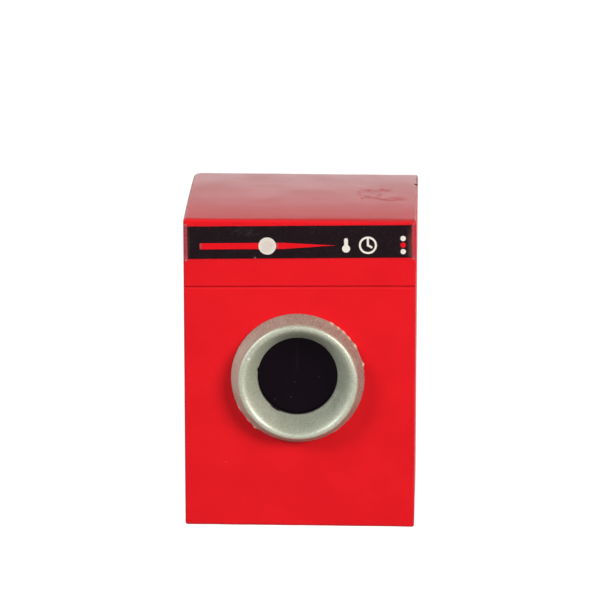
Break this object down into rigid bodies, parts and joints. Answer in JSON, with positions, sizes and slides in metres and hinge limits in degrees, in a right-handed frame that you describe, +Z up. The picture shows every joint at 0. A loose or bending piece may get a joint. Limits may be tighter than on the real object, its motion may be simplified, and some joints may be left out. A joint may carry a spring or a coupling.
{
  "type": "dollhouse tumble dryer",
  "caption": "Toy tumble dryer: a red painted wooden block with a silver door ring round a black porthole and a printed control label.",
  "frame": {"origin": "middle of the underside, which the dryer stands on", "axes": "+Z up to the top face, +Y towards the back face, -Y towards the door ring, +X to the right seen from the front"},
  "size_m": [0.0362, 0.0327, 0.0503],
  "materials": {
    "red_lacquer": "gloss red lacquer on wood",
    "silver_paint": "satin silver paint with a fine flake",
    "black_gloss": "gloss black",
    "clear_film": "clear label film",
    "black_ink": "printed black",
    "red_ink": "printed red",
    "pale_ink": "printed warm grey",
    "white_ink": "printed white"
  },
  "bodies": {
    "root": {"cabinet_block": "red_lacquer", "door_ring": "silver_paint", "porthole_disc": "black_gloss", "label_film": "clear_film", "label_ground": "black_ink", "slider_track": "red_ink", "slider_mark": "pale_ink", "heat_symbol": "white_ink", "timer_symbol": "white_ink", "lamp_mark_upper": "white_ink", "lamp_mark_middle": "red_ink", "lamp_mark_lower": "white_ink"}
  },
  "joints": []
}
